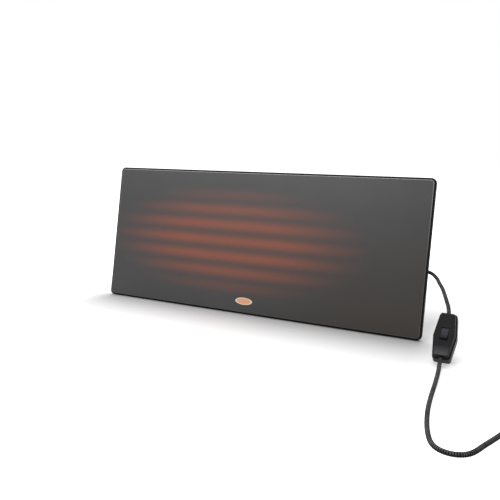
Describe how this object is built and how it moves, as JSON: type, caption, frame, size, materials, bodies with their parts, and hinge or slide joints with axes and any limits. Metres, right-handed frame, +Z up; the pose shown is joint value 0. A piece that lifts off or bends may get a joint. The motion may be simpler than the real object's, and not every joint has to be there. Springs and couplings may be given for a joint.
{
  "type": "flat panel coop heater",
  "caption": "Thin flat radiant heater for a hen house: rimmed panel leaning on fold-out rear legs, with keyhole hangers, fabric covered cord, inline rocker switch and grounded plug.",
  "frame": {"origin": "on the floor, in the middle of the stand: half way along the panel, and half way from the panel's front edge to the back of the leg tips", "axes": "+X along the panel towards the side where the cord comes out, +Y back through the panel towards the legs, +Z up"},
  "size_m": [1.0107, 0.5024, 0.2998],
  "materials": {
    "rim_plastic": "moulded, satin black",
    "panel_coating": "satin grey powder coat",
    "foil": "etched foil",
    "mica": "pressed mica sheet",
    "fibre_board": "mineral fibre board",
    "cover_coating": "satin black powder coat",
    "plated_steel": "zinc plated",
    "leg_coating": "satin black powder coat",
    "tip_rubber": "moulded",
    "box_plastic": "moulded, fine grain",
    "seal_rubber": "die cut",
    "block_plastic": "moulded",
    "brass": "plain",
    "cutout_case": "pressed",
    "lead_sleeve": "silicone sleeve",
    "switch_plastic": "moulded, fine grain",
    "rocker_plastic": "moulded, half gloss black",
    "clamp_plastic": "moulded",
    "cord_braid": "braided over rubber",
    "tie_strap": "woven hook strap",
    "plug_rubber": "moulded"
  },
  "bodies": {
    "panel": {"edge_rim": "rim_plastic", "front_panel": "panel_coating", "element_track": "foil", "element_carrier": "mica", "insulation_board": "fibre_board", "rear_cover": "cover_coating", "cover_screws": "plated_steel", "hanger_left": "plated_steel", "hanger_right": "plated_steel", "hanger_rivets": "plated_steel", "bracket_left": "plated_steel", "bracket_right": "plated_steel", "bracket_rivets": "plated_steel", "pin_left": "plated_steel", "pin_right": "plated_steel", "junction_box": "box_plastic", "box_gasket": "seal_rubber", "box_screws": "plated_steel", "strain_relief": "seal_rubber", "terminal_block": "block_plastic", "terminal_screws": "brass", "thermal_cutout": "cutout_case", "earth_tag": "brass", "earth_screw": "plated_steel", "inner_leads": "lead_sleeve", "switch_base": "switch_plastic", "switch_cover": "switch_plastic", "switch_terminals": "brass", "switch_contacts": "brass", "switch_clamps": "clamp_plastic", "switch_screws": "plated_steel", "cord_lead": "cord_braid", "cord_run": "cord_braid", "cord_coil": "cord_braid", "coil_tie": "tie_strap", "plug_body": "plug_rubber", "plug_blades": "brass", "plug_pin": "brass"},
    "left_leg": {"leg_left": "leg_coating", "tip_left": "tip_rubber"},
    "right_leg": {"leg_right": "leg_coating", "tip_right": "tip_rubber"},
    "rocker": {"switch_rocker": "rocker_plastic"}
  },
  "joints": [
    {"name": "left_leg_fold", "type": "hinge", "parent": "panel", "child": "left_leg", "pos_m": [-0.21, 0.00854, 0.21816], "axis": [-1, 0, 0], "range_deg": [0, 22]},
    {"name": "right_leg_fold", "type": "hinge", "parent": "panel", "child": "right_leg", "pos_m": [0.21, 0.00854, 0.21816], "axis": [-1, 0, 0], "range_deg": [0, 22]},
    {"name": "rocker_tilt", "type": "hinge", "parent": "panel", "child": "rocker", "pos_m": [0.41965, -0.12968, 0.04667], "axis": [1, -0.0087, 0], "range_deg": [0, 24]}
  ]
}
